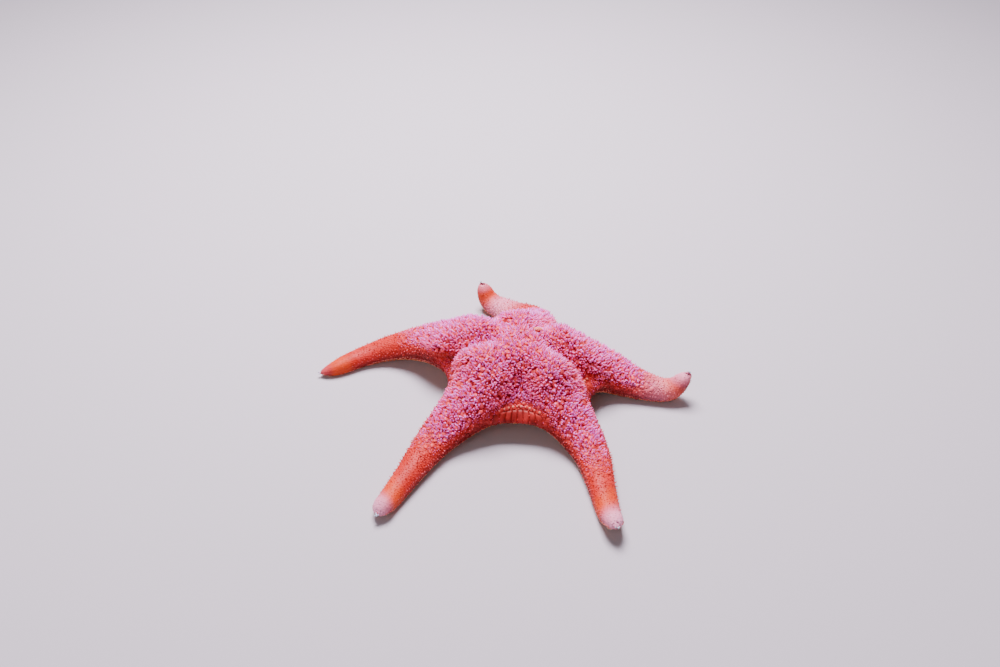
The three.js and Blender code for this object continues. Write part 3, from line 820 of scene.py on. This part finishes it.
feetPieces = {}
ossicleHits, ossicleSizes = [], []
for arm in armShapes:
    hits, leans, lengths, radii = [], [], [], []
    hand = 1
    end = arm["length"] - furrowShape["short"]
    for s in np.arange(footLook["from"], end - footLook["clearOfTip"], footLook["pitch"] / 2):
        middle, side, up, along = armPoint(arm, s)
        breadth = furrow(arm, s, "halfWidth")
        roof = middle + up * furrow(arm, s, "depth")
        hits.append(skinTree.find_nearest(Vector(roof + side * hand * footLook["apart"] * breadth)))
        sway = along * chance.normal(0, footLook["sway"])
        aim = unit((-up + side * hand * footLook["splay"] + sway)[None])[0]
        root = np.array(hits[-1][0])
        drop = (root[2] - footLook["clear"]) / max(-aim[2], 0.25)
        leans.append(aim)
        nearTip = smooth(arm["length"] - s, *footLook["nearTip"])
        hang = mix(footLook["hangAtTip"], footLook["hang"], nearTip)
        lengths.append(min(drop, furrow(arm, s, "depth") + hang * (0.75 + 0.4 * chance.random())))
        radii.append(footLook["radius"] * breadth / furrowShape["halfWidth"][0])
        hand = -hand
    for s in np.arange(footLook["from"], end - ossicleLook["clearOfTip"], ossicleLook["pitch"]):
        middle, side, up, along = armPoint(arm, s)
        ossicleHits.append(skinTree.ray_cast(Vector(middle + up * 0.2), Vector(up)))
        ossicleSizes.append(ossicleLook["radius"] * furrow(arm, s, "halfWidth") / furrowShape["halfWidth"][0])
    feetPieces[arm["name"]] = plant("feet_" + arm["name"], footShape, rootsOn(hits), np.array(radii),
                                    np.array(lengths), lean=np.array(leans))
ossicleSizes = np.array(ossicleSizes)[[hit[0] is not None for hit in ossicleHits]]
ossicles = plant("furrow_ossicles", granuleShape, rootsOn(ossicleHits), ossicleSizes,
                 ossicleSizes * ossicleLook["rise"], wide=ossicleLook["wide"])

# The mouth's jaw spines.

jawLook = {"ring": 4.7, "perJaw": 7, "fan": 34, "radius": 0.36, "length": 2.3, "inward": 1.5,
           "lengths": (0.85, 0.3), "lean": 0.08}
jawHits, jawLeans = [], []
for azimuth in notchAzimuths:
    for turn in np.linspace(-jawLook["fan"] / 2, jawLook["fan"] / 2, jawLook["perJaw"]):
        angle = math.radians(azimuth + turn)
        away = np.array([math.cos(angle), math.sin(angle), 0])
        onRing = centre + away * jawLook["ring"] + [0, 0, bodyShape["underside"] - 1]
        jawHits.append(skinTree.find_nearest(Vector(onRing)))
        jawLeans.append(-away * jawLook["inward"] + [0, 0, -1])
jawRoots = rootsOn(jawHits)
jawSpines = plant("jaw_spines", spineShape, jawRoots, jawLook["radius"],
                  jawLook["length"] * vary(jawRoots, jawLook["lengths"]),
                  lean=jittered(np.array(jawLeans), jawLook["lean"]))

# The tips: a red eyespot, with the last small tube feet round it.

tipLook = {"feet": 5, "radius": 0.25, "tall": 0.8, "spread": 0.3, "ring": 1.1, "raised": 0.3,
           "widths": (0.8, 0.4), "talls": (0.6, 0.6), "lean": 0.15, "eye": 0.24}
eyeHits, tipHits, tipLeans = [], [], []
for arm in armShapes:
    middle, side, up, along = armPoint(arm, arm["length"] - 0.5)
    end = middle + up * height(arm, arm["length"] - arm["cap"]) * 0.25 + along * 4
    eyeHits.append(skinTree.find_nearest(Vector(end)))
    for i in range(tipLook["feet"]):
        turn = math.pi * (i + 0.5) / tipLook["feet"]
        away = side * math.cos(turn) - up * math.sin(turn)
        tipHits.append(skinTree.find_nearest(Vector(end + away * tipLook["ring"] - along)))
        tipLeans.append(along + away * tipLook["spread"] + up * tipLook["raised"])
eyespots = plant("eyespots", granuleShape, rootsOn(eyeHits), tipLook["eye"], tipLook["eye"] * 0.9)
tipFeet = grow("tip_feet", footShape, rootsOn(tipHits), tipLook, lean=np.array(tipLeans))

# The madreporite: a low grooved button on the disc.

sieveLook = {"radius": 1.9, "rise": 0.85, "grooves": 13, "depth": 0.2, "swirl": 1.6, "sink": 0.5,
             "around": 90, "down": 36, "dimple": 0.3, "dimpleWidth": 0.25}


def makeMadreporite():
    bm = bmesh.new()
    bmesh.ops.create_uvsphere(bm, u_segments=sieveLook["around"], v_segments=sieveLook["down"], radius=1)
    bmesh.ops.scale(bm, verts=bm.verts, vec=(sieveLook["radius"], sieveLook["radius"], sieveLook["rise"]))
    heights = []
    for vertex in bm.verts:
        out = math.hypot(vertex.co.x, vertex.co.y) / sieveLook["radius"]
        turn = math.atan2(vertex.co.y, vertex.co.x) + sieveLook["swirl"] * out
        groove = math.cos(turn * sieveLook["grooves"]) * min(1, 2.5 * out)
        if vertex.co.z > 0:
            vertex.co.z += sieveLook["depth"] * groove
            vertex.co.z -= sieveLook["dimple"] * math.exp(-(out / sieveLook["dimpleWidth"]) ** 2)
        heights.append(0.5 + 0.5 * groove)
    value, facing, size = outward(button[None])
    tilt = Vector((0, 0, 1)).rotation_difference(Vector(facing[0]))
    seat = Vector(button) + Vector(facing[0]) * -(value[0] + sieveLook["sink"])
    bmesh.ops.rotate(bm, verts=bm.verts, matrix=tilt.to_matrix())
    bmesh.ops.translate(bm, verts=bm.verts, vec=seat)
    bmesh.ops.scale(bm, verts=bm.verts, vec=(mm, mm, mm))
    piece = pieceFrom(bm, "madreporite_button")
    note(piece.data, "rise", heights)
    shadeSmooth(piece.data)
    return piece


madreporite = makeMadreporite()
print("small pieces made")

# Materials.

patterns = {  # the kind of texture, how many of its features stand in a metre, and its own setting
    "mottle": ("Noise", 210.0, {"Detail": 3.0}),  # soft patches about 5 mm across
    "grain": ("Voronoi", 1300.0, {"feature": "F1"}),  # the skin's own grain, about 0.8 mm
    "creases": ("Noise", 2500.0, {"Detail": 2.0}),  # its creases, 0.4 mm: coarser than in life, to show
    "film": ("Noise", 1800.0, {"Detail": 2.0}),  # how uneven the small parts' film of skin is, 0.6 mm
    "pores": ("Voronoi", 2600.0, {"feature": "F1"}),  # the sieve's pores, 0.4 mm: coarser than in life
}
colours = {
    "crevice": "#A01628",     # thin skin between the plates
    "plateRim": "#A81C20",
    "plate": "#EE4A5A",       # limy plates under a film of skin
    "flank": "#B41719",       # the arms' sides
    "flankGrain": "#CE2E32",
    "flankShade": "#780C08",    # painted shade, lower down and wherever the surface faces down
    "outer": "#C22418",       # the arms' outer halves
    "outerGrain": "#D83634",
    "gillRoot": "#F24E88",
    "gillTip": "#FF78BC",
    # painted lilac highlight on the last gills' tips along an arm's side
    "sprigHighlight": "#FF7F92",
    # painted highlight on the gills' ends where the body faces up
    "gillHighlight": "#FF98FF",
    "wallShadeRoot": "#500A0A",    # the disc's steep edge, painted dark as shade
    "wallShadePlate": "#8C1A18",
    "rimBead": "#F79A86",
    "bead": "#EE8272",
    "cream": "#FFB4D6",
    "band": "#E24A14",
    "sole": "#EE9058",
    "limy": "#FBD0B4",
    "footStem": "#F6A878",
    "footEnd": "#FFECD8",
    "tipFoot": "#DCEBFF",
    "eye": "#B82A34",
    "sieve": "#F0806E",
    # painted shade down in the madreporite's grooves
    "sieveGrooveShade": "#8E1E1E",
    "lips": "#E99878",
}


def startMaterial(name):
    material = bpy.data.materials.new(name)
    material.use_nodes = True
    tree = material.node_tree
    tree.nodes.clear()
    return material, tree


def measured(tree, name):  # a pattern in the object's own place, or else a number noted for each vertex
    if name not in patterns:
        return addNode(tree, "ShaderNodeAttribute", {"attribute_name": name}).outputs["Fac"]
    kind, scale, setting = patterns[name]
    place = addNode(tree, "ShaderNodeTexCoord").outputs["Object"]
    return addNode(tree, "ShaderNodeTex" + kind, {"Scale": scale, **setting}, {"Vector": place}).outputs[0]


def layered(tree, colour, layers):  # lays each colour over the last, as far as its measure says
    for measure, reach, over in layers:  # reach: where it starts and is full, and its least and most
        if isinstance(measure, str):
            measure = measured(tree, measure)
        if reach:
            start, full, least, most = (reach + (0.0, 1.0))[:4]
            settings = {"interpolation_type": "SMOOTHSTEP", 1: start, 2: full, 3: least, 4: most}
            measure = addNode(tree, "ShaderNodeMapRange", settings, {0: measure}).outputs[0]
        settings, links = {"data_type": "RGBA"}, {0: measure}
        for socket, given in ((6, colour), (7, over)):
            if isinstance(given, str):
                settings[socket] = linear(colours[given])
            else:
                links[socket] = given
        colour = addNode(tree, "ShaderNodeMix", settings, links).outputs[2]
    return colour


def markedColour(tree, top, side, outer):  # the markings that skin and coat share, with painted shade where the surface faces down
    side = layered(tree, side, [("mottle", (0.35, 0.75), "outerGrain")])
    outer = layered(tree, outer, [("mottle", (0.4, 0.8), "outerGrain")])
    return layered(tree, side, [
        ("s", (40.0, 62.0), outer), ("shade", (0.0, 0.85, 0.0, 0.92), "flankShade"),
        ("gills", (0.05, 0.5), top), ("low", (0.35, 1.0, 0.0, 0.85), "sole"),
        ("band", (0.0, 1.0, 0.0, 0.7), "band"), ("pale", None, "cream")])


def tissue(roughness, flesh, depth=0.0008, tint=(1.0, 0.5, 0.5), ior=1.38):
    # flesh: the share of light that goes in. depth: how far, in metres. tint: how far each colour goes
    return {"Roughness": roughness, "IOR": ior, "Subsurface Weight": flesh, "Subsurface Scale": depth,
            "Subsurface Radius": tint}


def finish(tree, colour, settings, bumps=()):  # bumps: a pattern, how strong it is, its depth in metres
    links = {"Base Color": colour}
    for pattern, strength, depth in bumps:
        under = {"Normal": links["Normal"]} if "Normal" in links else {}
        under["Height"] = measured(tree, pattern) if isinstance(pattern, str) else pattern
        links["Normal"] = addNode(tree, "ShaderNodeBump", {"Strength": strength, "Distance": depth},
                                  under).outputs[0]
    shader = addNode(tree, "ShaderNodeBsdfPrincipled", settings, links)
    addNode(tree, "ShaderNodeOutputMaterial", None, {"Surface": shader.outputs[0]})


def skinMaterial():  # leathery skin wet with sea water: a soft gloss, fine pores, red in its creases
    material, tree = startMaterial("wet leathery skin")
    colour = markedColour(tree, "crevice", "flank", "outer")
    # the disc's steep edge is painted dark, as shade
    colour = layered(tree, colour, [("wall", (0.3, 0.9, 0.0, 0.7), "wallShadeRoot")])
    finish(tree, colour, {**tissue(0.5, 0.15, 0.001, (1.0, 0.35, 0.25)), "Specular IOR Level": 0.3},
           [("grain", 0.5, 0.00015), ("creases", 0.4, 0.00008)])
    return material


def coatMaterial(name, top, side, outer, roughness, flesh, spread=0.16):
    # grown parts that shade from root to tip, as each pair of colours says for the upper side, the
    # arms' sides and their outer halves. Each part is a little lighter or darker than the next
    material, tree = startMaterial(name)
    shades = []
    for root, tip in (top, side, outer):
        if isinstance(tip, tuple):  # a second colour where the body faces up: a painted highlight
            tip = layered(tree, tip[0], [("crest", (0.0, 1.0), tip[1])])
        shades.append(layered(tree, root, [("rise", None, tip)]))
    colour = markedColour(tree, *shades)
    value = addNode(tree, "ShaderNodeMapRange", {1: 0.0, 2: 1.0, 3: 1 - spread, 4: 1 + spread},
                    {0: measured(tree, "luck")}).outputs[0]
    colour = addNode(tree, "ShaderNodeHueSaturation", None, {"Value": value, "Color": colour}).outputs[0]
    finish(tree, colour, {**tissue(roughness, flesh), "Specular IOR Level": 0.3})
    return material


def sprigMaterial():  # thin soft flesh: coral like the skin round it, with a painted lilac highlight on the tips along an arm's sloping side
    material, tree = startMaterial("thin soft flesh")
    tip = layered(tree, "outerGrain", [("edge", (0.3, 0.9, 0.0, 0.6), "sprigHighlight"), ("pale", None, "cream")])
    root = layered(tree, "outer", [("pale", None, "cream")])
    finish(tree, layered(tree, root, [("rise", (0.1, 0.8), tip)]), tissue(0.38, 0.3))
    return material


def plainMaterial(name, root, tip, roughness, flesh, coat=0.0):  # a small part, shading from root to tip
    material, tree = startMaterial(name)
    settings = {**tissue(roughness, flesh, tint=(1.0, 0.6, 0.5)), "Coat Weight": coat, "Coat Roughness": 0.2}
    finish(tree, layered(tree, root, [("rise", (0.1, 0.9), tip)]), settings, [("film", 0.3, 0.0001)])
    return material


def sieveMaterial():  # a porous limy plate: matt, with painted shade down in its grooves
    material, tree = startMaterial("porous limy plate")
    colour = layered(tree, "sieveGrooveShade", [("rise", (0.25, 0.75), "sieve")])
    finish(tree, colour, tissue(0.6, 0.1, 0.0006, (1.0, 0.2, 0.1), 1.45), [("pores", 0.6, 0.0001)])
    return material


def lipsMaterial():  # the mouth's soft membrane: wet, folded in rings round the opening
    material, tree = startMaterial("soft wet membrane")
    place = addNode(tree, "ShaderNodeTexCoord").outputs["Object"]
    centred = addNode(tree, "ShaderNodeMapping", {"Location": tuple(-centre * mm)},
                      {"Vector": place}).outputs[0]
    folds = addNode(tree, "ShaderNodeTexWave", {
        "wave_type": "RINGS", "rings_direction": "Z", "Scale": 350.0, "Distortion": 2.0},
        {"Vector": centred}).outputs[1]  # about 3 mm from fold to fold
    # painted shade: the troughs between the folds are darker red
    colour = layered(tree, "plateRim", [(folds, (0.2, 0.9), "lips")])
    finish(tree, colour, tissue(0.3, 0.2, 0.001, (1.0, 0.2, 0.1), 1.4), [(folds, 0.6, 0.0002)])
    return material


# lime under a film of skin: a dull shine, with a darker red round each plate's foot
plateMaterial = coatMaterial("limy plates", ("plateRim", "plate"), ("plateRim", "flankGrain"),
                             ("outer", "outerGrain"), 0.42, 0.1)
# thin-walled flesh full of sea water: light goes through it, and where the body faces up the ends carry a
# painted lilac highlight
gillMaterial = coatMaterial("soft gills", ("gillRoot", ("gillTip", "gillHighlight")), ("gillRoot", "gillTip"),
                            ("gillRoot", "gillTip"), 0.38, 0.3)
# lime in leathery skin: a fine even grit in the skin's own colours
granuleMaterial = coatMaterial("limy granules", ("flank", "flankGrain"), ("flank", "flankGrain"),
                               ("outer", "outerGrain"), 0.45, 0.1, 0.1)
# tall lime plates under smooth skin: matt, painted dark red as shade, with darker lines between them
wallShades = [("wallShadeRoot", "wallShadePlate")] * 3
edgeMaterial = coatMaterial("limy edge plates", *wallShades, 0.5, 0.1, 0.05)
# bare lime: chalky and pale towards the point
spineMaterial = plainMaterial("limy spines", "flankGrain", "limy", 0.4, 0.15)
# rounded lime under skin: matt, paler than what is round it
beadMaterial = plainMaterial("limy beads", "flankGrain", "bead", 0.5, 0.15)
rimMaterial = plainMaterial("pale limy beads", "outerGrain", "rimBead", 0.5, 0.15)
# clear muscle wet with sea water: glossy, lit from within, pale at the sucker
footMaterial = plainMaterial("clear wet flesh", "footStem", "footEnd", 0.25, 0.4, 0.4)
tipFootMaterial = plainMaterial("clear bluish flesh", "cream", "tipFoot", 0.25, 0.4, 0.4)
# a pad of pigment under clear skin: a small glossy red dot
eyeMaterial = plainMaterial("red eye pigment", "crevice", "eye", 0.3, 0.1, 0.5)

finishes = [
    ([skin], skinMaterial(), "coral_skin"), ([plates], plateMaterial, "coral_skin"),
    ([edgePlates], edgeMaterial, "coral_skin"), ([sprigs], sprigMaterial(), "coral_skin"),
    ([beads], beadMaterial, "pale_tip"), ([rimBeads], rimMaterial, "pale_tip"),
    ([spines, ossicles, jawSpines], spineMaterial, "pale_tip"),
    ([tipFeet], tipFootMaterial, "tube_feet"), ([eyespots], eyeMaterial, "coral_skin"),
    ([madreporite], sieveMaterial(), "madreporite"), (gillPieces, gillMaterial, "coral_skin"),
    (granulePieces, granuleMaterial, "coral_skin"), (feetPieces.values(), footMaterial, "tube_feet"),
]
for pieces, material, slot in finishes:
    for piece in pieces:
        dress(piece, material)
        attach(piece, "root")
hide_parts(*fleshNodes)
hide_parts("madreporite")
for name, piece in feetPieces.items():
    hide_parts("tube_feet_" + name)
dress(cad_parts["mouth"], lipsMaterial())
print("materials made")

# Floor, lights and camera, in metres.

roomLook = {"floor": "#C8C5CC", "floorSize": 6, "floorRoughness": 0.85, "air": "#E8E6EE", "airLight": 0.18}
lightLook = {
    "keyLight": {"place": (-0.05, 0.29, 0.55), "aim": (0, 0, 0), "size": 0.3, "power": 13.0,
                 "colour": "#FFF0FC"},
    "fillLight": {"place": (-0.4, -0.7, 0.6), "aim": (0, 0, 0.01), "size": 0.6, "power": 1.5,
                  "colour": "#FFFFFF"},
}
cameraLook = {"lens": 35, "sensor": 36, "nearest": 0.01, "place": (-0.000975, -0.28392, 0.26624),
              "lowered": 38.99}


def floorMaterial():  # uncoated paper: plain, pale and matt
    material, tree = startMaterial("matt paper")
    shader = addNode(tree, "ShaderNodeBsdfPrincipled", {
        "Base Color": linear(roomLook["floor"]), "Roughness": roomLook["floorRoughness"]})
    addNode(tree, "ShaderNodeOutputMaterial", None, {"Surface": shader.outputs[0]})
    return material


bm = bmesh.new()
bmesh.ops.create_grid(bm, x_segments=1, y_segments=1, size=roomLook["floorSize"])
floor = pieceFrom(bm, "floor")
dress(floor, floorMaterial())

camera = bpy.data.objects.new("camera", bpy.data.cameras.new("camera"))
camera.data.lens = cameraLook["lens"]
camera.data.sensor_width = cameraLook["sensor"]
camera.data.clip_start = cameraLook["nearest"]
camera.location = cameraLook["place"]
camera.rotation_euler = (math.radians(90 - cameraLook["lowered"]), 0, 0)
bpy.context.scene.collection.objects.link(camera)
bpy.context.scene.camera = camera

for name, look in lightLook.items():
    light = bpy.data.objects.new(name, bpy.data.lights.new(name, "AREA"))
    light.data.size = look["size"]
    light.data.energy = look["power"]
    light.data.color = linear(look["colour"])[:3]
    light.location = look["place"]
    towards = Vector(look["aim"]) - Vector(look["place"])
    light.rotation_euler = towards.to_track_quat("-Z", "Y").to_euler()
    bpy.context.scene.collection.objects.link(light)
world = bpy.data.worlds.new("room")
world.use_nodes = True
world.node_tree.nodes["Background"].inputs[0].default_value = linear(roomLook["air"])
world.node_tree.nodes["Background"].inputs[1].default_value = roomLook["airLight"]
bpy.context.scene.world = world
print("room made")
